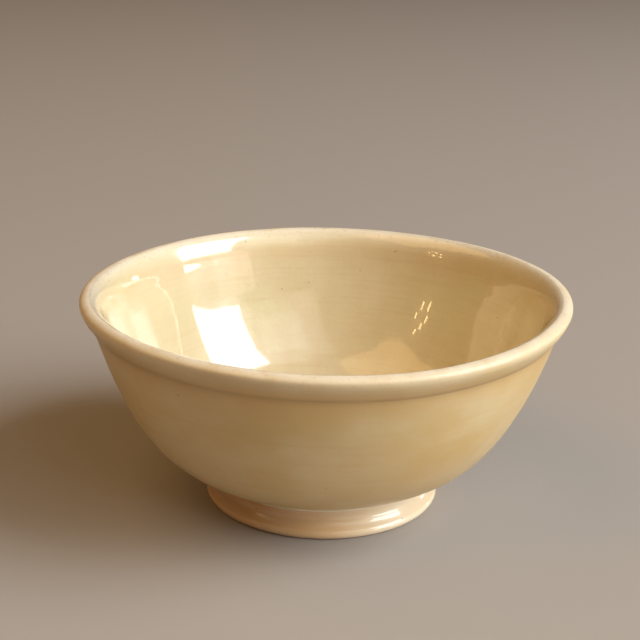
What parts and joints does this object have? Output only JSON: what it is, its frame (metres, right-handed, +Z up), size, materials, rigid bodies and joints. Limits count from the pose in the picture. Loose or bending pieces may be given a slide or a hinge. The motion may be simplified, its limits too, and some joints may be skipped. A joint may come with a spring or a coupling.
{
  "type": "mixing bowl",
  "caption": "Round footed mixing bowl in glazed earthenware, with a rolled rim, deep rounded wall and a flared foot ring luted on with slip.",
  "frame": {"origin": "centre of the foot ring on the surface that the bowl stands on", "axes": "+Z up through the centre of the mouth; the bowl is a body of revolution, so +X and +Y are any two level directions at right angles"},
  "size_m": [0.305, 0.305, 0.137],
  "materials": {
    "body_glaze": "glossy clear lead-type glaze over buff yellow clay",
    "foot_glaze": "thin glossy glaze over warmer clay, bare and ground where it stands",
    "slip": "pale slip under the glaze"
  },
  "bodies": {
    "root": {"bowl_body": "body_glaze", "foot_ring": "foot_glaze", "luting_slip": "slip"}
  },
  "joints": []
}
